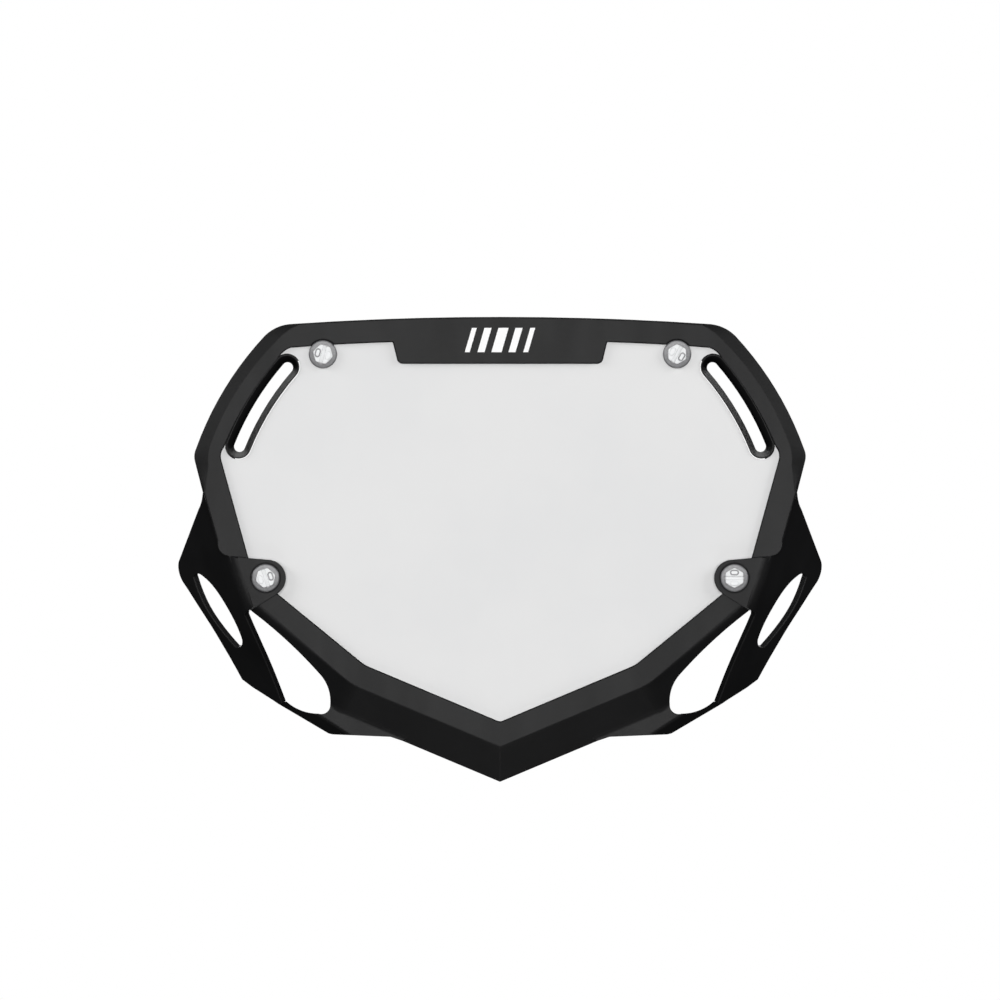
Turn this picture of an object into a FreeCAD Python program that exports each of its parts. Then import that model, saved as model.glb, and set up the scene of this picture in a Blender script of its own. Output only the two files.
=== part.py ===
"""Front number plate for a BMX race bike: a moulded frame, a snap-in number panel and four snap rivets.

Units are millimetres.  +X is the plate's right as seen from the front, +Z is up, and the front looks
along -Y.  Outlines are given as (x, z) pairs in the plane of the front face, from the middle of the
plate.  The finished parts are moved so that the origin is the middle of the whole plate.
"""
import FreeCAD, Part
import math
import os

Vector = FreeCAD.Vector

# ---- depths, measured back from the flat front face of the bars ----
FACE_THICKNESS = 3.0        # front wall of the bars
BEVEL_DEPTH = 2.2           # how far the bevel of the side bars falls back
EDGE_ROUND = 0.8            # outer front edges
WALL = 2.5                  # other moulded walls of the frame
RIM_DEPTH = 9.5             # outer skirt behind the top and side bars
INNER_WALL_DEPTH = 8.0      # wall round the number panel's window
PANEL_FRONT = 1.5           # the panel sits this far behind the bars
PANEL_THICKNESS = 1.5
PANEL_GAP = 0.4             # gap between the panel and its window
LEDGE_WIDTH = 6.6           # shelf that the panel rests on
LEDGE_THICKNESS = 2.5
PANEL_BACK = PANEL_FRONT + PANEL_THICKNESS
LEDGE_BACK = PANEL_BACK + LEDGE_THICKNESS

RIB_THICKNESS = 1.2
RIB_DEPTH = 7.0
RIB_ROW = (-34.0, -17.0, 0.0, 17.0, 34.0)      # x of the ribs in the header
RIB_ANGLES = (14.0, 47.0)                      # of the ribs in the side bars, from the +X axis

# ---- upper strap slots: arcs beside the side bars ----
SLOT_CENTRE = (1.6, 0.0)
SLOT_RADIUS = 125.0
SLOT_ANGLES = (21.8, 41.0)
SLOT_THROAT = (2.45, 2.45)
FUNNEL_MOUTH = (4.7, 5.6)   # flared mouth, to the inner and outer side of the slot's middle line
FUNNEL_RIM = (5.2, 6.1)     # rim round the mouth
FUNNEL_FRONT = 1.0
FUNNEL_THROAT = 8.0         # depth where the flare ends
FUNNEL_TAIL = (4.6, 4.6)    # wall at its back end

# ---- chin: two bars in a shallow V under the panel ----
CHIN_TIP = (0.0, -78.4)     # inner edge of the chin bars
CHIN_BEND = (61.4, -52.6)
CHIN_END = (112.05, -11.2)
CHIN_FACE = 10.1            # flat front face of a chin bar
CHIN_CHAMFER = 14.5         # 45 degree face that runs back and down from it
CHIN_LIP = 2.8              # straight lip behind the chamfer's foot
CHIN_EDGE = 1.0             # radius between face and chamfer below the bend
CHIN_EDGE_TOP = 5.0         # and beside the rivet lobe, where it is softest
TIP_ROUND = 3.0             # inner corner at the tip
BEND_ROUND = 16.0           # inner corner at the bend
CHIN_BLEND = 30.0           # radius where the two chamfers of a side meet
CHIN_PLATE = 7.0            # where the front plate ends and the bent wall of the chin takes over
OPENING_WALL = 2.2          # wall round the side opening, back to the shelf

# ---- shelf and rail under the large side opening ----
SHELF_FRONT = 12.8
SHELF_ROUND = 3.0           # hollow rounding between chin and shelf
SHELF_FOLD = 60.0           # x of a place along it
RAIL_SLOPE = 2.0            # depth gained per millimetre away from the shelf
RAIL_ROUND = 2.0            # rounding between shelf and rail
RAIL_THICKNESS = 4.0

# ---- side wings ----
LOBE_FRONT = -1.0           # rivet lobes stand proud of the bars
LOBE_RADIUS = 8.3
LOBE_CENTRE = (105.0, -13.05)
WING_THICKNESS = 3.0
WING_ANGLE = 60.8           # how far a wing turns back from the front face
WING_BEND = 5.5             # outside radius of that turn
WING_REACH = 70.0
WING_PULL = Vector(1.15, -1.0, -0.7).normalize()       # the mould's slides leave along this line
WING_MIDDLE = Vector(125.0, 15.0, -25.0)
WING_EDGE = 0.5             # rounding of the front edges whose walls are seen from the front
# (z, x, y) of the line where a wing would meet the front face without its bend radius
RIDGE = [
    (36.0, 134.6, -1.0),
    (12.0, 126.9, -1.0),
    (-6.0, 121.2, -1.0),
    (-16.0, 118.0, -1.0),
    (-25.0, 114.8, -0.4),
    (-34.0, 111.0, 1.9),
    (-50.0, 103.7, 7.4),
    (-66.0, 97.4, 13.1),
    (-82.0, 91.0, 18.8),
]

# ---- snap rivets ----
TOP_RIVET = (80.0, 88.1)
LOWER_RIVET = (105.9, -12.96)
RIVET_HOLE = 3.1            # radius
HEAD_RADIUS = 6.4
HEAD_HEIGHT = 1.9           # of the rim's inner edge
CORE_WIDTH = 8.0            # raised six-sided core of a head, across its flats
CORE_RAISED = 0.3
HEAD_RECESS = 6.9           # radius of the notch or counterbore round a head
FLANGE_ROOM = 6.4           # radius kept free for a socket's flange behind the frame
STACK = 4.0                 # what a rivet clamps
LOBE_FLOOR = PANEL_FRONT - 1.0


def point(x, z, y=0.0):
    return Vector(x, y, z)


def edges_along(start, steps, place=point):
    """Edges from start through the steps: [end] is a straight line, [via, end] an arc."""
    edges = []
    here = start
    for step in steps:
        end = step[-1]
        if len(step) == 1:
            edges.append(Part.LineSegment(place(*here), place(*end)).toShape())
        else:
            edges.append(Part.Arc(place(*here), place(*step[0]), place(*end)).toShape())
        here = end
    return edges


def mirrored(shape):
    return shape.mirror(Vector(0, 0, 0), Vector(1, 0, 0))


def symmetric_wire(start, steps):
    """A closed outline from its right half, which starts and ends on the middle line."""
    half = edges_along(start, steps)
    whole = half + [mirrored(edge) for edge in half]
    return Part.Wire(Part.__sortEdges__(whole))


def closed_wire(start, steps, place=point):
    if steps[-1][-1] != start:
        steps = steps + [[start]]
    return Part.Wire(edges_along(start, steps, place))


def prism(wire, front, back):
    face = Part.Face(wire)
    face.translate(Vector(0, front, 0))
    return face.extrude(Vector(0, back - front, 0))


def grown(wire, distance):
    return wire.makeOffset2D(distance, 0, False, False, True)


def drum(centre, radius, front, back):
    return Part.makeCylinder(radius, back - front, point(*centre, front), Vector(0, 1, 0))


def nearest_edge(shape, spot):
    return min(shape.Edges, key=lambda edge: edge.distToShape(Part.Vertex(spot))[0])


# ---- outlines of the front ----

def chin_direction(start, end):
    return point(*end).sub(point(*start)).normalize()


def chin_miter():
    upper = chin_direction(CHIN_BEND, CHIN_END)
    return chin_direction(CHIN_TIP, CHIN_BEND).add(upper).normalize()


def chin_line(distance):
    """Tip and bend of the line at this distance outside the chin's inner edge."""
    along = chin_direction(CHIN_TIP, CHIN_BEND)
    miter = chin_miter()
    outward = Vector(miter.z, 0, -miter.x)
    bend = point(*CHIN_BEND).add(outward * (distance / miter.dot(along)))
    return (0.0, CHIN_TIP[1] - distance / along.x), (bend.x, bend.z)


PLATE_TIP, PLATE_BEND = chin_line(CHIN_PLATE)
LOWER_BAR = [                # from the side bar's outer edge round the foot of the bar to the chin
    [(127.5, 2.4)],
    [(126.0, -1.3), (122.5, -3.0)],
    [(120.9, -6.8)],
    [(117.3, -15.6)],
    [PLATE_BEND],
    [PLATE_TIP],
]


def bar_outline():
    return symmetric_wire((0, 104.95), [
        [(48, 104.15), (95.1, 101.7)],
        [(101.2, 100.0), (106.4, 96.3)],
        [(124.6, 72.2), (137.3, 45.5)],
        [(138.1, 42.3), (137.8, 39.6)],
        [(134.3, 25.9)],
    ] + LOWER_BAR)


def bevelled_face_outline():
    """The flat front face inside the bevel of the side bars, edge for edge like bar_outline."""
    return symmetric_wire((0, 104.95), [
        [(45, 104.22), (89.5, 102.06)],
        [(95.5, 98.9), (101.3, 93.6)],
        [(118.2, 72.8), (131.0, 46.9)],
        [(131.75, 43.0), (131.75, 37.5)],
        [(133.68, 25.1)],
    ] + LOWER_BAR)


def rounded_corner(before, corner, after, radius, share=1.0):
    """Start, middle and end of the arc that rounds a corner, or of the first share of that arc."""
    first = point(*before).sub(point(*corner)).normalize()
    second = point(*after).sub(point(*corner)).normalize()
    half = first.getAngle(second) / 2
    to_centre = first.add(second).normalize() * (radius / math.sin(half))
    centre = point(*corner).add(to_centre)
    spoke = first * (radius / math.tan(half)) - to_centre
    turn = FreeCAD.Rotation(second.cross(first), math.degrees(math.pi - 2 * half) * share)
    half_turn = FreeCAD.Rotation(second.cross(first), math.degrees(math.pi - 2 * half) * share / 2)
    spots = (centre.add(spoke), centre.add(half_turn.multVec(spoke)), centre.add(turn.multVec(spoke)))
    return [(spot.x, spot.z) for spot in spots]


def window_outline():
    bend_start, bend_middle, bend_end = rounded_corner(CHIN_END, CHIN_BEND, CHIN_TIP, BEND_ROUND)
    other_bend = (-CHIN_BEND[0], CHIN_BEND[1])
    tip_start, tip_middle, tip_end = rounded_corner(CHIN_BEND, CHIN_TIP, other_bend, TIP_ROUND, 0.5)
    return symmetric_wire((0, 84.15), [
        [(43.9, 84.15)],
        [(45.4, 84.7), (46.2, 86.2)],
        [(47.9, 93.1)],
        [(48.3, 93.75), (49.0, 93.95)],
        [(72.0, 92.95), (94.6, 91.4)],
        [(98.2, 89.3), (100.6, 86.0)],
        [(114.1, 67.5), (124.9, 46.4)],
        [(126.5, 42.6), (126.3, 40.2)],
        [CHIN_END],
        [bend_start],
        [bend_middle, bend_end],
        [tip_start],
        [tip_middle, (0, tip_end[1])],
    ])


def strap_slot_outline(half_widths):
    """A curved slot with round ends, beside the upper part of the side bar."""
    inward, outward = half_widths
    inner = SLOT_RADIUS - inward
    outer = SLOT_RADIUS + outward
    low, high = SLOT_ANGLES
    cap = math.degrees((inward + outward) / 2 / SLOT_RADIUS)

    def spot(radius, angle):
        turn = math.radians(angle)
        return (SLOT_CENTRE[0] + radius * math.cos(turn), SLOT_CENTRE[1] + radius * math.sin(turn))

    return closed_wire(spot(outer, low), [
        [spot(outer, (low + high) / 2), spot(outer, high)],
        [spot((inner + outer) / 2, high + cap), spot(inner, high)],
        [spot(inner, (low + high) / 2), spot(inner, low)],
        [spot((inner + outer) / 2, low - cap), spot(outer, low)],
    ])


OPENING_FOOT = (96.4, -68.8)
OPENING_LOW = (82.0, -74.25)
OPENING_FLOOR = [(89.6, -72.9), OPENING_LOW]


def side_opening():
    """The large opening between a chin bar and a wing, open towards the wing."""
    return closed_wire((113.6, -26.6), [
        [(111.9, -28.2)],
        [(95.9, -41.6), (81.5, -56.3)],
        [(77.4, -63.4), (76.7, -70.2)],
        [(77.9, -73.3), OPENING_LOW],
        [OPENING_FLOOR[0], OPENING_FOOT],
        [(150, -68.8)],
        [(150, -8)],
        [(120.3, -8)],
    ])


# ---- chin ----

def chin_section(outline):
    """Both chin bars of the right side from one section of (distance from the inner edge, depth)."""
    pieces = []
    ends = (CHIN_TIP, CHIN_BEND, CHIN_END)
    for start, end in zip(ends, ends[1:]):
        along = point(*end).sub(point(*start)).normalize()
        outward = Vector(along.z, 0, -along.x)
        section = [point(*start).add(outward * away).add(Vector(0, depth, 0)) for away, depth in outline]
        face = Part.Face(Part.makePolygon(section + section[:1]))
        reach = 60.0
        face.translate(along * -reach)
        pieces.append(face.extrude(along * (point(*end).sub(point(*start)).Length + 2 * reach)))
    first, second = pieces
    middle_plane = half_space(CHIN_TIP, Vector(1, 0, 0))
    miter = half_space(CHIN_BEND, chin_miter())
    first = first.common(middle_plane).cut(miter)
    second = second.common(miter).cut(half_space(CHIN_END, chin_direction(CHIN_BEND, CHIN_END)))
    return first.fuse(second).removeSplitter()


def half_space(at, normal):
    """A large block on the side of the plane that the normal points to."""
    size = 400.0
    block = Part.makeBox(size, size, size, Vector(-size / 2, -size / 2, 0))
    block.Placement = FreeCAD.Placement(point(*at), FreeCAD.Rotation(Vector(0, 0, 1), normal))
    return block


CHIN_FOOT = CHIN_FACE + CHIN_CHAMFER
CHIN_BACK = CHIN_CHAMFER + CHIN_LIP
CHAMFER_INSET = CHIN_FACE - WALL * (math.sqrt(2) - 1)      # where the inside of the chamfer starts


def softened(chin):
    """Rounds the crease where the two chamfers meet, then the edge along the chin's flat face."""
    face_bend = point(*chin_line(CHIN_FACE)[1])
    foot_bend = point(*chin_line(CHIN_FOOT)[1], CHIN_CHAMFER)
    crease = nearest_edge(chin, face_bend.add(foot_bend) * 0.5)
    chin = chin.makeFillet(CHIN_BLEND, [crease])
    upper_edge = nearest_edge(chin, face_bend.add(chin_direction(CHIN_BEND, CHIN_END) * CHIN_BLEND))
    return chin.makeFillet(CHIN_EDGE, CHIN_EDGE_TOP, [upper_edge])


def chin_block():
    return softened(chin_section([
        (0, 0),
        (CHIN_FACE, 0),
        (CHIN_FOOT, CHIN_CHAMFER),
        (CHIN_FOOT, CHIN_BACK),
        (0, CHIN_BACK),
    ]))


def chin_walls():
    inner_foot = CHIN_FOOT - WALL
    strip = CHIN_PLATE - 2
    return softened(chin_section([
        (strip, 0),
        (CHIN_FACE, 0),
        (CHIN_FOOT, CHIN_CHAMFER),
        (CHIN_FOOT, CHIN_BACK),
        (inner_foot, CHIN_BACK),
        (inner_foot, inner_foot - CHAMFER_INSET + WALL),
        (CHAMFER_INSET, WALL),
        (strip, WALL),
    ]))


# ---- wings ----

def wing_front(sheet, x, z):
    """The point of a wing's front surface behind (x, z)."""
    ray = Part.makeLine(point(x, z, -30), point(x, z, 120))
    return min((vertex.Point for vertex in sheet.common(ray).Vertexes), key=lambda spot: spot.y)


def wing_cutter(sheet, start, steps):
    """A prism along WING_PULL that meets a wing's front surface in the outline given."""

    def flattened(x, z):
        spot = wing_front(sheet, x, z)
        return spot.sub(WING_PULL * spot.sub(WING_MIDDLE).dot(WING_PULL))

    face = Part.Face(closed_wire(start, steps, flattened))
    face.translate(WING_PULL * -60)
    return face.extrude(WING_PULL * 120)


def wing_sheet():
    """The bent sheet of a wing, before it is trimmed: a flat strip, a round bend and the wing."""
    turn = math.radians(WING_ANGLE)
    tangent = WING_BEND * math.tan(turn / 2)
    inner_bend = WING_BEND - WING_THICKNESS
    wires = []
    for z, x, y in RIDGE:
        centre = Vector(x - tangent, y + WING_BEND, z)

        def rim(radius, angle):
            return centre.add(Vector(math.sin(angle), -math.cos(angle), 0) * radius)

        out = Vector(math.cos(turn), math.sin(turn), 0) * WING_REACH
        back = Vector(-12, 0, 0)
        front = [rim(WING_BEND, 0).add(back), rim(WING_BEND, 0), rim(WING_BEND, turn / 2),
                 rim(WING_BEND, turn), rim(WING_BEND, turn).add(out)]
        rear = [rim(inner_bend, 0).add(back), rim(inner_bend, 0), rim(inner_bend, turn / 2),
                rim(inner_bend, turn), rim(inner_bend, turn).add(out)]
        edges = [
            Part.LineSegment(front[0], front[1]).toShape(),
            Part.Arc(front[1], front[2], front[3]).toShape(),
            Part.LineSegment(front[3], front[4]).toShape(),
            Part.LineSegment(front[4], rear[4]).toShape(),
            Part.LineSegment(rear[4], rear[3]).toShape(),
            Part.Arc(rear[3], rear[2], rear[1]).toShape(),
            Part.LineSegment(rear[1], rear[0]).toShape(),
            Part.LineSegment(rear[0], front[0]).toShape(),
        ]
        wires.append(Part.Wire(edges))
    return Part.makeLoft(wires, True, False)


def wing():
    sheet = wing_sheet()
    trimmed = sheet.common(wing_cutter(sheet, (133.4, 26.9), [
        [(134.3, 25.4)],
        [(134.8, 21.8), (136.2, 18.0)],
        [(144.8, -4.7)],
        [(145.0, -10.4), (142.5, -15.9)],
        [(135.7, -26.5), (128.2, -38.3)],
        [(122.2, -48.5), (116.5, -58.8)],
        [(111.7, -62.4)],
        [(99.6, -70.1)],
        [(98.6, -69.6)],
        [STRUT_INNER, (115.2, -30.1)],
        [(115.2, -28.4)],
        [(109.5, -25.6)],
        [(112.5, -14.0)],
        [(115.5, -4.3)],
        [(122.0, -3.1)],
        [(124.6, -1.2)],
        [(126.2, 2.4)],
        [(130.6, 18.7)],
    ]))
    trimmed = trimmed.cut(lower_strap_slot(sheet)).cut(prism(window_outline(), -5, 20))
    edges = [nearest_edge(trimmed, wing_front(sheet, x, z)) for x, z in (SLOT_OUTER, STRUT_INNER)]
    return trimmed.makeFillet(WING_EDGE, edges)


SLOT_INNER = (124.2, -24.7)      # middles of the lens-shaped slot's two long edges
SLOT_OUTER = (131.0, -29.7)
STRUT_INNER = (107.35, -47.7)    # middle of the strut's edge along the side opening


def lower_strap_slot(sheet):
    return wing_cutter(sheet, (134.2, -12.2), [
        [SLOT_INNER, (116.5, -40.8)],
        [(116.8, -43.6), (119.5, -44.3)],
        [SLOT_OUTER, (138.6, -12.6)],
        [(136.6, -11.0), (134.2, -12.2)],
    ])


def lobe():
    centre_x, centre_z = LOBE_CENTRE
    outline = closed_wire((118.6, -3.55), [
        [(centre_x, centre_z + LOBE_RADIUS)],
        [(centre_x - LOBE_RADIUS, centre_z), (100.5, -20.0)],
        [(113.4, -28.1)],
        [(111.5, -26.0)],
    ])
    return prism(outline, LOBE_FRONT, LOBE_FLOOR + STACK)


# ---- shelf and rail ----

RAIL_START = (68.7, -83.65)
RAIL_ALONG = chin_direction(RAIL_START, (82.45, -74.85))


def shelf_and_rail():
    """The flat shelf at the foot of the chin, and the rail that slopes back from it to the wing."""
    outward = Vector(RAIL_ALONG.z, 0, -RAIL_ALONG.x)
    far = 14.0
    drop = far * RAIL_SLOPE
    section = [
        (-50, SHELF_FRONT),
        (0, SHELF_FRONT),
        (far, SHELF_FRONT + drop),
        (far, SHELF_FRONT + drop + RAIL_THICKNESS),
        (-WALL / RAIL_SLOPE, SHELF_FRONT + RAIL_THICKNESS),
        (-WALL / RAIL_SLOPE - 1, SHELF_FRONT + WALL),
        (-50, SHELF_FRONT + WALL),
    ]
    begin = point(*RAIL_START).sub(RAIL_ALONG * 60)
    corners = [begin.add(outward * away).add(Vector(0, depth, 0)) for away, depth in section]
    sheet = Part.Face(Part.makePolygon(corners + corners[:1])).extrude(RAIL_ALONG * 140)
    fold = point(*RAIL_START, SHELF_FRONT)
    sheet = sheet.makeFillet(RAIL_ROUND, [nearest_edge(sheet, fold)])
    outline = closed_wire((47.0, -80.0), [
        [(40.0, -84.0)],
        [(44.0, -86.6)],
        [(49.5, -84.75)],
        [(75.7, -83.65)],
        [(77.5, -83.2)],
        [(100.4, -69.7)],
        [(105.0, -66.6)],
        [(103.0, -64.8)],
        [(90.0, -60.0)],
        [(71.5, -69.5)],
    ])
    return sheet.common(prism(outline, 0, 60))


# ---- frame ----

def on_front_edge(edge):
    """True for an edge in the front plane that belongs to the outside of the top or a side bar."""
    box = edge.BoundBox
    return box.YMax - box.YMin < 0.01 and box.YMax < 0.01 and box.ZMin > -2.0


def bars():
    """Front plate of the bars with its bevels, skirt, window, inner wall and ledge."""
    face = bevelled_face_outline()
    outline = bar_outline()
    bevel_foot = outline.copy()
    bevel_foot.translate(Vector(0, BEVEL_DEPTH, 0))
    plate = Part.makeLoft([face, bevel_foot], True, True)
    plate = plate.fuse(prism(outline, BEVEL_DEPTH, RIM_DEPTH)).removeSplitter()
    plate = plate.makeFillet(EDGE_ROUND, [edge for edge in plate.Edges if on_front_edge(edge)])
    hollow = prism(grown(outline, -WALL), FACE_THICKNESS, RIM_DEPTH + 1)
    below_bars = Part.makeBox(300, 20, 100, Vector(-150, FACE_THICKNESS, -118))
    window = window_outline()
    inner_wall = prism(grown(window, WALL), 0, INNER_WALL_DEPTH)
    plate = plate.cut(hollow).cut(below_bars).fuse(inner_wall)
    ledge_inside = grown(window, -LEDGE_WIDTH)
    plate = plate.cut(prism(window, -1, PANEL_BACK)).cut(prism(ledge_inside, 0, 20))
    return plate.cut(prism(window, LEDGE_BACK, 20))


def ribs():
    """Thin stiffening ribs across the hollow back of the top and side bars."""
    slabs = []
    for x in RIB_ROW:
        slabs.append(Part.makeBox(RIB_THICKNESS, RIB_DEPTH, 40, Vector(x - RIB_THICKNESS / 2, 0, 78)))
    for angle in RIB_ANGLES:
        for turn in (angle, 180 - angle):
            slab = Part.makeBox(60, RIB_DEPTH, RIB_THICKNESS, Vector(95, 0, -RIB_THICKNESS / 2))
            slab.rotate(Vector(0, 0, 0), Vector(0, 1, 0), -turn)
            slabs.append(slab)
    hollow = prism(grown(bar_outline(), -WALL / 2), FACE_THICKNESS / 2, RIB_DEPTH)
    hollow = hollow.cut(prism(grown(window_outline(), WALL / 2), 0, RIB_DEPTH))
    return hollow.common(slabs)


def opening_wall():
    strip = prism(grown(side_opening(), OPENING_WALL), 0, SHELF_FRONT + WALL)
    return chin_block().common(strip)


def side():
    """Everything of the frame's right side that hangs on the bars."""
    opening = prism(side_opening(), -5, 50)
    chin = chin_walls().fuse(opening_wall()).cut(opening)
    chin = chin.fuse(shelf_and_rail().cut(opening)).removeSplitter()
    tip = chin_line(CHIN_FACE + SHELF_FRONT)[0]
    slope = (CHIN_BEND[1] - CHIN_TIP[1]) / CHIN_BEND[0]
    fold = nearest_edge(chin, point(SHELF_FOLD, tip[1] + slope * SHELF_FOLD, SHELF_FRONT))
    return [chin.makeFillet(SHELF_ROUND, [fold]), lobe(), wing()]


def strap_funnel():
    rim = strap_slot_outline(FUNNEL_RIM)
    rim.translate(Vector(0, FUNNEL_FRONT, 0))
    tail = strap_slot_outline(FUNNEL_TAIL)
    tail.translate(Vector(0, RIM_DEPTH, 0))
    return Part.makeLoft([rim, tail], True, True)


def strap_passage():
    mouth = strap_slot_outline(FUNNEL_MOUTH)
    throat = strap_slot_outline(SLOT_THROAT)
    mouth.translate(Vector(0, FUNNEL_FRONT, 0))
    throat.translate(Vector(0, FUNNEL_THROAT, 0))
    flare = Part.makeLoft([mouth, throat], True, True)
    passage = prism(strap_slot_outline(SLOT_THROAT), FUNNEL_THROAT - 1, RIM_DEPTH + 1)
    return flare.fuse(passage)


def frame():
    pieces = side()
    pieces = pieces + [mirrored(piece) for piece in pieces]
    shell = bars().fuse(pieces + [ribs()])
    for side_sign in (1, -1):
        top = (side_sign * TOP_RIVET[0], TOP_RIVET[1])
        lower = (side_sign * LOWER_RIVET[0], LOWER_RIVET[1])
        shell = shell.fuse(drum(top, HEAD_RECESS + 0.6, PANEL_BACK, PANEL_FRONT + STACK))
        shell = shell.cut(drum(top, HEAD_RECESS, -5, PANEL_BACK))
        shell = shell.cut(drum(top, RIVET_HOLE, -5, 20))
        shell = shell.cut(drum(top, FLANGE_ROOM, PANEL_FRONT + STACK, 20))
        shell = shell.cut(drum(lower, HEAD_RECESS, -5, LOBE_FLOOR))
        shell = shell.cut(drum(lower, RIVET_HOLE, -5, 20))
        shell = shell.cut(drum(lower, HEAD_RECESS, PANEL_FRONT, PANEL_BACK))
        shell = shell.cut(drum(lower, FLANGE_ROOM, LOBE_FLOOR + STACK, 12))
    shell = shell.cut(prism(window_outline(), PANEL_FRONT, PANEL_BACK))
    funnels = [strap_funnel(), mirrored(strap_funnel())]
    passages = [strap_passage(), mirrored(strap_passage())]
    return shell.fuse(funnels).cut(passages)


def panel():
    plate = prism(grown(window_outline(), -PANEL_GAP), PANEL_FRONT, PANEL_BACK)
    for side_sign in (1, -1):
        lower = (side_sign * LOWER_RIVET[0], LOWER_RIVET[1])
        top = (side_sign * TOP_RIVET[0], TOP_RIVET[1])
        plate = plate.fuse(drum(lower, HEAD_RECESS - PANEL_GAP, PANEL_FRONT, PANEL_BACK))
        plate = plate.cut(drum(lower, RIVET_HOLE, 0, 5)).cut(drum(top, RIVET_HOLE, 0, 5))
    notch = prism(strap_slot_outline([half + PANEL_GAP for half in FUNNEL_RIM]), 0, 5)
    return plate.cut([notch, mirrored(notch)])


# ---- snap rivets ----

PIN_RADIUS = 1.8
BEAD_RADIUS = 2.05
SLEEVE_BORE = 2.1
SLEEVE_RADIUS = 2.95
GROOVE_RADIUS = 2.4
FLANGE_RADIUS = 6.0
FLANGE_THICKNESS = 1.6
SLEEVE_FRONT_GAP = 0.2      # between the sleeve and the head
BEAD_FROM_HEAD = 3.2        # middle of the bead, behind the head's underside
BEAD_LENGTH = 1.0
COIN_SLOT = (9.2, 1.5, 0.55)     # length, width, depth
DIMPLE = (4.1, 2.5)              # oval ring groove beside the coin slot: length and width
DIMPLE_INSIDE = (2.9, 1.4)
BLISTER = (3.9, 2.2)             # raised oval on the other side
OVAL_OFFSET = 2.4
OVAL_DEPTH = 0.25


def turned(outline):
    """A body turned about the Y axis from (radius, depth) points; [via, end] steps are arcs."""
    start, steps = outline
    face = Part.Face(closed_wire(start, steps, lambda radius, depth: Vector(radius, depth, 0)))
    return face.revolve(Vector(0, 0, 0), Vector(0, 1, 0), 360)


def hexagon(width, corner):
    """A six-sided outline with rounded corners round the axis."""
    reach = width / 2 / math.cos(math.radians(30))
    spots = [point(reach * math.cos(math.radians(turn)), reach * math.sin(math.radians(turn)))
             for turn in range(0, 360, 60)]
    return grown(grown(Part.makePolygon(spots + spots[:1]), -corner), corner)


def oval(size, x):
    """A slot-shaped outline with its long side along Z, centred at x."""
    length, width = size
    side = (length - width) / 2
    half = width / 2
    return closed_wire((x + half, -side), [
        [(x + half, side)],
        [(x, side + half), (x - half, side)],
        [(x - half, -side)],
        [(x, -side - half), (x + half, -side)],
    ])


def rivet_head():
    """Head in front of depth 0: a rounded rim and a raised core with a coin slot and two ovals."""
    face = -HEAD_HEIGHT - CORE_RAISED
    head = turned(((0, 0), [
        [(HEAD_RADIUS - 0.35, 0)],
        [(HEAD_RADIUS, -0.35)],
        [(HEAD_RADIUS, -0.75)],
        [(HEAD_RADIUS - 0.2, -1.25), (HEAD_RADIUS - 0.7, -1.5)],
        [(CORE_WIDTH / 2, -HEAD_HEIGHT)],
        [(0, -HEAD_HEIGHT)],
    ]))
    core = prism(hexagon(CORE_WIDTH, 1.2), face, -0.5)
    core = core.makeChamfer(0.2, [edge for edge in core.Edges if edge.BoundBox.YMax < face + 0.01])
    dimple = prism(oval(DIMPLE, OVAL_OFFSET), face - 1, face + OVAL_DEPTH)
    dimple = dimple.cut(prism(oval(DIMPLE_INSIDE, OVAL_OFFSET), face - 2, face + 1))
    blister = prism(oval(BLISTER, -OVAL_OFFSET), face - OVAL_DEPTH, face + 0.5)
    rim = [edge for edge in blister.Edges if edge.BoundBox.YMax < face - OVAL_DEPTH + 0.01]
    blister = blister.makeChamfer(OVAL_DEPTH * 0.8, rim)
    length, width, depth = COIN_SLOT
    slot = Part.makeBox(width, depth + 1, length, Vector(-width / 2, face - 1, -length / 2))
    return head.fuse(core).cut(dimple).fuse(blister).cut(slot)


def rivet_pin(turn):
    """Head in front of depth 0, shank and bead behind it; turn is where its dimple lies, from +X."""
    bead_front = BEAD_FROM_HEAD - BEAD_LENGTH / 2
    bead_back = BEAD_FROM_HEAD + BEAD_LENGTH / 2
    tip = STACK + 1.1
    shank = turned(((0, 0), [
        [(PIN_RADIUS, 0)],
        [(PIN_RADIUS, bead_front)],
        [(BEAD_RADIUS, BEAD_FROM_HEAD), (PIN_RADIUS, bead_back)],
        [(PIN_RADIUS, tip - 0.5)],
        [(PIN_RADIUS - 0.5, tip)],
        [(0, tip)],
    ]))
    pin = rivet_head().fuse(shank).removeSplitter()
    pin.rotate(Vector(0, 0, 0), Vector(0, 1, 0), -turn)
    return pin


def rivet_socket():
    """Flange behind the stack and a sleeve that reaches forward through it to the head."""
    back = STACK + FLANGE_THICKNESS
    front = SLEEVE_FRONT_GAP
    groove_front = BEAD_FROM_HEAD - BEAD_LENGTH / 2 - 0.1
    groove_back = BEAD_FROM_HEAD + BEAD_LENGTH / 2 + 0.1
    return turned(((SLEEVE_BORE, front), [
        [(SLEEVE_RADIUS, front)],
        [(SLEEVE_RADIUS, STACK)],
        [(FLANGE_RADIUS, STACK)],
        [(FLANGE_RADIUS, back - 0.5)],
        [(FLANGE_RADIUS - 0.5, back)],
        [(SLEEVE_BORE, back)],
        [(SLEEVE_BORE, groove_back)],
        [(GROOVE_RADIUS, BEAD_FROM_HEAD), (SLEEVE_BORE, groove_front)],
    ]))


# ---- header decal: five slanted bars, widest in the middle ----

DECAL_THICKNESS = 0.15
DECAL_BARS = (-13.2, -7.0, 0.0, 7.0, 13.2)
DECAL_WIDTHS = (2.2, 3.2, 4.6, 3.2, 2.2)
DECAL_LOW = 89.0
DECAL_HIGH = 100.0
DECAL_SLANT = 3.2


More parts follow.
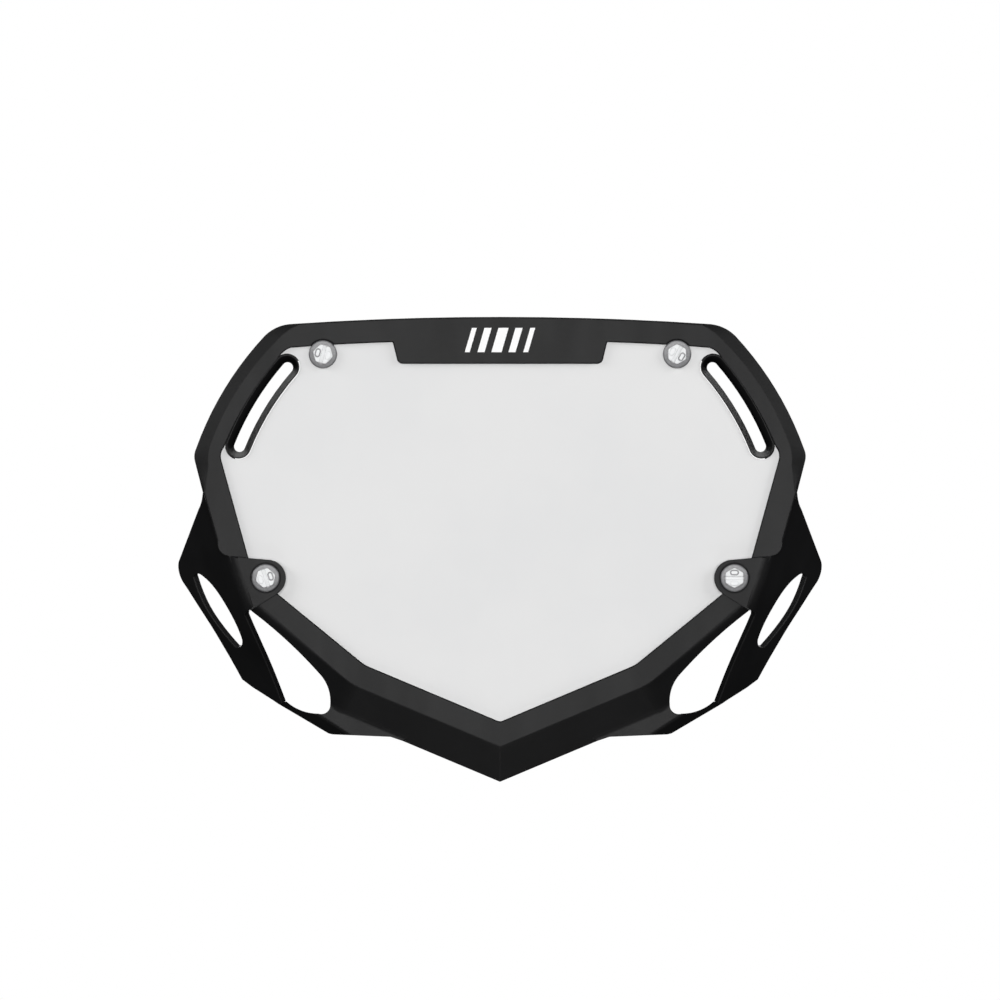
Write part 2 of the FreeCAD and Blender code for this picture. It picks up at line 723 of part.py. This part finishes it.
def header_decal():
    solids = []
    for middle, width in zip(DECAL_BARS, DECAL_WIDTHS):
        left = middle - width / 2
        right = middle + width / 2
        lean = DECAL_SLANT / 2
        bar = closed_wire((left - lean, DECAL_LOW), [
            [(right - lean, DECAL_LOW)],
            [(right + lean, DECAL_HIGH)],
            [(left + lean, DECAL_HIGH)],
        ])
        solids.append(prism(bar, -DECAL_THICKNESS, 0))
    return Part.makeCompound(solids)


# place, depth of the seat and turn of the head
RIVETS = {
    "upper_left": ((-TOP_RIVET[0], TOP_RIVET[1]), PANEL_FRONT, 165),
    "upper_right": (TOP_RIVET, PANEL_FRONT, -30),
    "lower_left": ((-LOWER_RIVET[0], LOWER_RIVET[1]), LOBE_FLOOR, 18),
    "lower_right": (LOWER_RIVET, LOBE_FLOOR, 90),
}


def all_parts():
    parts = {
        "frame_shell": frame(),
        "number_panel": panel(),
        "header_decal": header_decal(),
    }
    for name, ((x, z), seat, turn) in RIVETS.items():
        pin = rivet_pin(turn)
        socket = rivet_socket()
        for shape in (pin, socket):
            shape.translate(Vector(x, seat, z))
        parts["rivet_pin_" + name] = pin
        parts["rivet_socket_" + name] = socket
    return parts


def main():
    os.makedirs("parts", exist_ok=True)
    parts = all_parts()
    box = Part.makeCompound(list(parts.values())).optimalBoundingBox(False)
    print("whole before centring", box)
    for name, shape in parts.items():
        shape.translate(Vector(0, -(box.YMin + box.YMax) / 2, -(box.ZMin + box.ZMax) / 2))
        shape.exportStep("parts/" + name + ".step")
        size = shape.optimalBoundingBox(False)
        print(name, "solids", len(shape.Solids), "valid", shape.isValid(), "volume", round(shape.Volume, 1),
              [round(value, 3) for value in (size.XMin, size.XMax, size.YMin, size.YMax, size.ZMin, size.ZMax)])


main()
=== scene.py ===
"""Looks of a BMX race number plate: materials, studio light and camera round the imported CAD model.

Everything is in metres, in the CAD model's frame: +X is the plate's right as seen from the front, +Z is
up, and the number side looks along -Y.  Colours are linear.
"""
import math

import bpy
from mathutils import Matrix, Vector


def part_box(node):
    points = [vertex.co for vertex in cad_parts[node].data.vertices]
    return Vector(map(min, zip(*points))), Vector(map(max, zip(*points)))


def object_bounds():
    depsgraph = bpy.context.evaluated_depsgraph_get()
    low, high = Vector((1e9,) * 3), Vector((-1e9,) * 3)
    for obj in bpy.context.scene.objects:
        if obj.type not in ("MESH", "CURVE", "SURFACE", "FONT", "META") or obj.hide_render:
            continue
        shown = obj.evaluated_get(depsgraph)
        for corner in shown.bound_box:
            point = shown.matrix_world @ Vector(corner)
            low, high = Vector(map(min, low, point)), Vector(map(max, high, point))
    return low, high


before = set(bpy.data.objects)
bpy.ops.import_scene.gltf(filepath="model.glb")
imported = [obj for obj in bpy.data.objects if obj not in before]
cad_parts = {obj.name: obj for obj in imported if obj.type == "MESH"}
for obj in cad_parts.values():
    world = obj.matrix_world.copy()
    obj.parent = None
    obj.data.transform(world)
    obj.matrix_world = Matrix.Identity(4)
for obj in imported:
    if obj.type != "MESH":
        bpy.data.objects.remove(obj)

MM = 0.001
CAD_LOW, CAD_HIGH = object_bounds()
MIDDLE = (CAD_LOW + CAD_HIGH) / 2
CORNERS = ("upper_left", "upper_right", "lower_left", "lower_right")

# ---- camera ----
CAMERA_DISTANCE = 3.0
CAMERA_REACH = 50.0
VIEW_WIDTH = 451.7 * MM         # what the picture spans at the plate
VIEW_HEIGHT_OFFSET = 22.3 * MM  # middle of the picture above the middle of the plate

# ---- studio ----
FLOOR_SIZE = 14.0
FLOOR_GAP = 0.4 * MM
FLOOR_COLOUR = (0.93, 0.93, 0.93, 1)
GLOW_NEAR = 0.62                # the floor's own glow below the plate
GLOW_FAR = 1.0                  # and away from it
GLOW_RISE = (0.05, 0.60)        # the distances between which the glow rises

# Each softbox's name, place from the middle of the plate, diameter and power in watts.
SOFTBOXES = (
    ("front_softbox", (0, -3.4, 0.35), 3.4, 92.0),
    ("low_softbox", (0, -0.45, -1.9), 0.9, 9.0),
    ("top_softbox", (0, 0.4, 1.9), 1.6, 6.0),
    ("back_softbox", (0, 3.0, 0.9), 3.0, 75.0),
    *(("side_softbox", (side * 2.1, -0.7, 0.9), 1.2, 27.0) for side in (1, -1)),
)

# ---- all materials ----
NOISE_SPAN = (0.3, 0.7)         # where most of a noise's values lie
EDGE_TURN = (0.98, 0.80)        # cosines of the turn at which an edge starts and is at its strongest
COLOUR_A, COLOUR_B = 6, 7       # a colour Mix node's inputs, whose names aren't unique
COLOUR_RESULT = 2

# ---- frame plastic ----
BLACK = (0.0052, 0.0052, 0.0055, 1)
BLACK_LIGHTER = (0.0070, 0.0070, 0.0074, 1)
BLACK_WORN = (0.045, 0.045, 0.047, 1)
BLACK_EDGE = 0.35 * MM          # radius that the shader rounds the edges to
BLACK_ROUGHNESS = (0.43, 0.52)
GRAIN = 0.35 * MM               # size of the moulded texture's grains
PATCH = 38 * MM                 # size of the patches that are a little lighter
HANDLED_STRETCH = 9 * MM        # size of the stretches of edge that are worn alike
FLOW = (60.0, 60.0, 14.0)       # streaks of melt flow per metre, longest up and down
FLOW_ROUGHNESS = (-0.03, 0.03)
WEAR = (0.15, 0.6)              # share of wear on the least and the most handled edges
WEAR_POLISH = 0.12              # how much smoother a worn edge is

# ---- number panel ----
PANEL_PALE = (0.78, 0.78, 0.78, 1)
# the second grey serves both for the faint clouds and for the painted shade along the panel's edges
PANEL_GREY_AND_PAINTED_SHADE = (0.76, 0.762, 0.765, 1)
PANEL_EDGE = 0.25 * MM          # radius that the shader rounds the edges to
PANEL_ROUGHNESS = (0.34, 0.40)
CLOUD = 55 * MM                 # size of the slightly shaded areas
PEEL = 2.2 * MM                 # size of the orange peel's bumps
SCUFF = (35.0, 300.0, 420.0)    # scuffs per metre, longest across the panel
SCUFF_ROUGHNESS = 0.10

# ---- header decal ----
INK = (0.92, 0.92, 0.92, 1)
INK_WORN = (0.74, 0.74, 0.75, 1)
INK_ROUGHNESS = (0.26, 0.36)
INK_SPECK = 0.5 * MM

# ---- rivets ----
RIVET_RING = (0.24, 0.24, 0.245, 1)
# the paler grey serves both for the frosting's clouds and for the painted highlight along the head's edges
RIVET_PALE_FROST_AND_EDGE_HIGHLIGHT = (0.30, 0.30, 0.31, 1)
# bright core, partly the rivet's pale core and partly a painted highlight
RIVET_CORE_AND_HIGHLIGHT = (0.90, 0.91, 0.92, 1)
# painted shade inside the groove round the core
RIVET_GROOVE_SHADE = (0.20, 0.20, 0.21, 1)
# painted shade at the head's outline
RIVET_RIM_SHADE = (0.10, 0.10, 0.105, 1)
RIVET_EDGE = 0.30 * MM          # radius that the shader rounds the edges to
RIVET_ROUGHNESS = (0.16, 0.26)
FROST = 1.1 * MM                # size of the frosting's clouds
HEAD_RADIUS = 6.4 * MM
RIM_RADIUS = 5.4 * MM           # where the painted shade at the head's outline starts
CORE_RADIUS = 3.9 * MM
CORE_STEP = 0.50 * MM           # how far the floor of the dimple lies behind the head's front
GROOVE_FLOOR = 0.56 * MM


# ---- building node materials ----

class Painter:
    """A material whose nodes are added one call at a time."""

    def __init__(self, name):
        self.material = bpy.data.materials.new(name)
        self.material.use_nodes = True
        self.tree = self.material.node_tree
        self.tree.nodes.clear()
        output = self.add("ShaderNodeOutputMaterial")
        self.shader = self.add("ShaderNodeBsdfPrincipled")
        self.join(self.shader.outputs["BSDF"], output.inputs["Surface"])
        self.place = self.add("ShaderNodeTexCoord").outputs["Object"]

    def add(self, kind, **settings):
        made = self.tree.nodes.new(kind)
        for key, value in settings.items():
            setattr(made, key, value)
        return made

    def join(self, source, target):
        if isinstance(source, (int, float, tuple)):
            target.default_value = source
        else:
            self.tree.links.new(source, target)

    def noise(self, size, detail=2.0, roughness=0.5, stretch=None):
        """Noise from 0 to 1 whose grains are about size metres across, divided by stretch on each axis."""
        texture = self.add("ShaderNodeTexNoise")
        place = self.place
        if stretch:
            mapping = self.add("ShaderNodeMapping")
            mapping.inputs["Scale"].default_value = stretch
            self.join(self.place, mapping.inputs["Vector"])
            place = mapping.outputs["Vector"]
        self.join(place, texture.inputs["Vector"])
        texture.inputs["Scale"].default_value = 1.0 / size
        texture.inputs["Detail"].default_value = detail
        texture.inputs["Roughness"].default_value = roughness
        return texture.outputs["Fac"]

    def ramp(self, value, low, high, to_low=0.0, to_high=1.0):
        """A smooth step from to_low to to_high, while the value goes from low to high."""
        mapped = self.add("ShaderNodeMapRange", interpolation_type="SMOOTHSTEP")
        self.join(value, mapped.inputs["Value"])
        mapped.inputs["From Min"].default_value = low
        mapped.inputs["From Max"].default_value = high
        mapped.inputs["To Min"].default_value = to_low
        mapped.inputs["To Max"].default_value = to_high
        return mapped.outputs["Result"]

    def spread(self, noise, to_low=0.0, to_high=1.0):
        """The usual values of a noise, spread from to_low to to_high."""
        return self.ramp(noise, *NOISE_SPAN, to_low, to_high)

    def mix(self, share, first, second):
        mixed = self.add("ShaderNodeMix", data_type="RGBA")
        self.join(share, mixed.inputs["Factor"])
        self.join(first, mixed.inputs[COLOUR_A])
        self.join(second, mixed.inputs[COLOUR_B])
        return mixed.outputs[COLOUR_RESULT]

    def math(self, operation, first, second):
        made = self.add("ShaderNodeMath", operation=operation)
        self.join(first, made.inputs[0])
        self.join(second, made.inputs[1])
        return made.outputs["Value"]

    def vector(self, operation, first, second, result="Vector"):
        made = self.add("ShaderNodeVectorMath", operation=operation)
        self.join(first, made.inputs[0])
        self.join(second, made.inputs[1])
        return made.outputs[result]

    def length(self, vector):
        measured = self.add("ShaderNodeVectorMath", operation="LENGTH")
        self.join(vector, measured.inputs[0])
        return measured.outputs["Value"]

    def bump(self, height, strength, depth, normal=None):
        """The normal, roughened by bumps as deep as depth metres."""
        bumped = self.add("ShaderNodeBump")
        bumped.inputs["Strength"].default_value = strength
        bumped.inputs["Distance"].default_value = depth
        self.join(height, bumped.inputs["Height"])
        if normal:
            self.join(normal, bumped.inputs["Normal"])
        return bumped.outputs["Normal"]

    def rounded(self, radius):
        """The normal with edges rounded to this radius, and how strongly a place is an edge."""
        bevel = self.add("ShaderNodeBevel", samples=6)
        bevel.inputs["Radius"].default_value = radius
        flat = self.add("ShaderNodeNewGeometry").outputs["True Normal"]
        turn = self.vector("DOT_PRODUCT", bevel.outputs["Normal"], flat, result="Value")
        return bevel.outputs["Normal"], self.ramp(turn, *EDGE_TURN)

    def plug(self, name, value):
        self.join(value, self.shader.inputs[name])


def black_plastic():
    """Textured injection-moulded plastic, a little polished and paler along handled edges."""
    paint = Painter("moulded_black_plastic")
    normal, edge = paint.rounded(BLACK_EDGE)
    patches = paint.noise(PATCH, 4.0, 0.6)
    handled = paint.noise(HANDLED_STRETCH, 3.0, 0.65)
    colour = paint.mix(paint.ramp(patches, 0.35, 0.7), BLACK, BLACK_LIGHTER)
    wear = paint.math("MULTIPLY", edge, paint.ramp(handled, 0.4, 0.75, *WEAR))
    paint.plug("Base Color", paint.mix(wear, colour, BLACK_WORN))
    grain = paint.noise(GRAIN, 2.0, 0.55)
    flow = paint.noise(1.0, 3.0, 0.5, stretch=FLOW)
    speckle = paint.math("ADD", paint.spread(grain, *BLACK_ROUGHNESS), paint.spread(flow, *FLOW_ROUGHNESS))
    paint.plug("Roughness", paint.math("SUBTRACT", speckle, paint.math("MULTIPLY", wear, WEAR_POLISH)))
    paint.plug("IOR", 1.49)
    paint.plug("Specular IOR Level", 0.25)
    paint.plug("Normal", paint.bump(grain, 0.35, 0.05 * MM, normal))
    return paint.material


def white_panel():
    """Satin white sheet with a faint orange peel, faint scuffs, and painted shade that darkens all its
    edges.
    """
    paint = Painter("satin_white_panel")
    normal, edge = paint.rounded(PANEL_EDGE)
    clouds = paint.noise(CLOUD, 3.0, 0.55)
    colour = paint.mix(paint.ramp(clouds, 0.35, 0.68), PANEL_PALE, PANEL_GREY_AND_PAINTED_SHADE)
    # painted shade: every edge of the panel is mixed halfway towards the darker grey, standing in for the
    # shade at its edges and window rims
    paint.plug("Base Color", paint.mix(paint.math("MULTIPLY", edge, 0.5), colour, PANEL_GREY_AND_PAINTED_SHADE))
    scuffs = paint.ramp(paint.noise(1.0, 4.0, 0.6, stretch=SCUFF), 0.60, 0.72)
    scuffed = paint.math("MULTIPLY", scuffs, SCUFF_ROUGHNESS)
    peel = paint.noise(PEEL, 2.0, 0.5)
    paint.plug("Roughness", paint.math("ADD", paint.spread(peel, *PANEL_ROUGHNESS), scuffed))
    paint.plug("IOR", 1.47)
    paint.plug("Specular IOR Level", 0.35)
    paint.plug("Normal", paint.bump(peel, 0.12, 0.03 * MM, normal))
    return paint.material


def printed_vinyl():
    """Printed header bars: white ink on gloss film, with a few worn specks."""
    paint = Painter("printed_vinyl")
    speck = paint.noise(INK_SPECK, 3.0, 0.6)
    paint.plug("Base Color", paint.mix(paint.ramp(speck, 0.62, 0.8), INK, INK_WORN))
    paint.plug("Roughness", paint.spread(speck, *INK_ROUGHNESS))
    paint.plug("Coat Weight", 0.3)
    paint.plug("Coat Roughness", 0.15)
    paint.plug("Normal", paint.bump(speck, 0.06, 0.02 * MM))
    return paint.material


def clear_rivet(name, low, high):
    """Translucent rivet, whose pin fills the box from low to high.

    Its head has a grey see-through rim and a frosted bright core, told apart by their distance from the
    rivet's axis and from the head's front.  The bright core is partly the rivet's pale core and partly a
    painted highlight; the groove round the core and the rim's darkening towards its outline are painted
    shade, and the paler edges are painted highlights.
    """
    paint = Painter(name)
    normal, edge = paint.rounded(RIVET_EDGE)
    offset = paint.vector("SUBTRACT", paint.place, tuple((low + high) / 2))
    radius = paint.length(paint.vector("MULTIPLY", offset, (1, 0, 1)))
    depth = paint.add("ShaderNodeSeparateXYZ")
    paint.join(paint.place, depth.inputs["Vector"])
    behind = paint.math("SUBTRACT", depth.outputs["Y"], low.y)
    inside = paint.ramp(radius, CORE_RADIUS + 0.5 * MM, CORE_RADIUS - 0.4 * MM)
    raised = paint.ramp(behind, CORE_STEP + 0.04 * MM, CORE_STEP - 0.04 * MM)
    groove = paint.math("MULTIPLY", paint.ramp(behind, CORE_STEP - 0.03 * MM, CORE_STEP + 0.01 * MM),
                        paint.ramp(behind, GROOVE_FLOOR + 0.04 * MM, GROOVE_FLOOR))
    frost = paint.noise(FROST, 3.0, 0.55)
    ring = paint.mix(paint.spread(frost), RIVET_RING, RIVET_PALE_FROST_AND_EDGE_HIGHLIGHT)
    # painted shade: the rim darkens towards the head's outline, standing in for the shade in the recess
    # round the head
    ring = paint.mix(paint.ramp(radius, RIM_RADIUS, HEAD_RADIUS), ring, RIVET_RIM_SHADE)
    # painted highlight: the bright core is partly the rivet's pale core and partly light caught in the
    # clear head
    colour = paint.mix(paint.math("MAXIMUM", inside, raised), ring, RIVET_CORE_AND_HIGHLIGHT)
    # painted shade: the groove round the core is darkened, standing in for the shade inside it
    colour = paint.mix(paint.math("MULTIPLY", groove, inside), colour, RIVET_GROOVE_SHADE)
    # painted highlight: every edge of the head is mixed towards the paler grey, standing in for light
    # caught along the edges
    paint.plug("Base Color", paint.mix(paint.math("MULTIPLY", edge, 0.55), colour, RIVET_PALE_FROST_AND_EDGE_HIGHLIGHT))
    paint.plug("Roughness", paint.spread(frost, *RIVET_ROUGHNESS))
    paint.plug("IOR", 1.49)
    paint.plug("Transmission Weight", 0.12)
    paint.plug("Coat Weight", 0.25)
    paint.plug("Coat Roughness", 0.12)
    paint.plug("Normal", paint.bump(frost, 0.10, 0.03 * MM, normal))
    return paint.material


# ---- assigning them ----

def dress(node, material):
    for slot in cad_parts[node].material_slots:
        slot.material = material


def dress_all():
    dress("frame_shell", black_plastic())
    dress("number_panel", white_panel())
    dress("header_decal", printed_vinyl())
    for corner in CORNERS:
        material = clear_rivet("clear_rivet_" + corner, *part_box("rivet_pin_" + corner))
        dress("rivet_pin_" + corner, material)
        dress("rivet_socket_" + corner, material)


# ---- studio ----

def floor():
    """A large pale floor under the plate, with a glow of its own so that it stays pale."""
    bpy.ops.mesh.primitive_plane_add(size=FLOOR_SIZE, location=(0, 0, CAD_LOW.z - FLOOR_GAP))
    made = bpy.context.object
    made.name = "studio_floor"
    paint = Painter("pale_floor")
    paint.plug("Base Color", FLOOR_COLOUR)
    paint.plug("Roughness", 0.75)
    glow = paint.ramp(paint.length(paint.place), *GLOW_RISE, GLOW_NEAR, GLOW_FAR)
    paint.plug("Emission Color", paint.mix(glow, (0, 0, 0, 1), (1, 1, 1, 1)))
    paint.plug("Emission Strength", 1.0)
    made.data.materials.append(paint.material)
    made.visible_glossy = False
    made.visible_diffuse = False
    made.visible_shadow = False


def softbox(name, place, size, power):
    """A round soft light that faces the middle of the plate; the camera doesn't see it."""
    data = bpy.data.lights.new(name, "AREA")
    data.shape = "DISK"
    data.size = size
    data.energy = power
    made = bpy.data.objects.new(name, data)
    made.location = MIDDLE + Vector(place)
    made.rotation_euler = (MIDDLE - made.location).to_track_quat("-Z", "Y").to_euler()
    made.visible_camera = False
    bpy.context.collection.objects.link(made)


def sky():
    """A plain white surround, seen directly and through the rivets; it lights nothing else."""
    world = bpy.data.worlds.new("studio")
    bpy.context.scene.world = world
    world.use_nodes = True
    background = world.node_tree.nodes["Background"]
    background.inputs["Color"].default_value = (1, 1, 1, 1)
    background.inputs["Strength"].default_value = 1.0
    world.cycles_visibility.diffuse = False
    world.cycles_visibility.glossy = False


def camera():
    data = bpy.data.cameras.new("camera")
    data.type = "ORTHO"
    data.ortho_scale = VIEW_WIDTH
    data.clip_end = CAMERA_REACH
    made = bpy.data.objects.new("camera", data)
    made.location = (MIDDLE.x, CAD_LOW.y - CAMERA_DISTANCE, MIDDLE.z + VIEW_HEIGHT_OFFSET)
    made.rotation_euler = (math.radians(90), 0, 0)
    bpy.context.collection.objects.link(made)
    bpy.context.scene.camera = made


dress_all()
floor()
for box in SOFTBOXES:
    softbox(*box)
sky()
camera()
bpy.context.scene.view_settings.view_transform = "Standard"
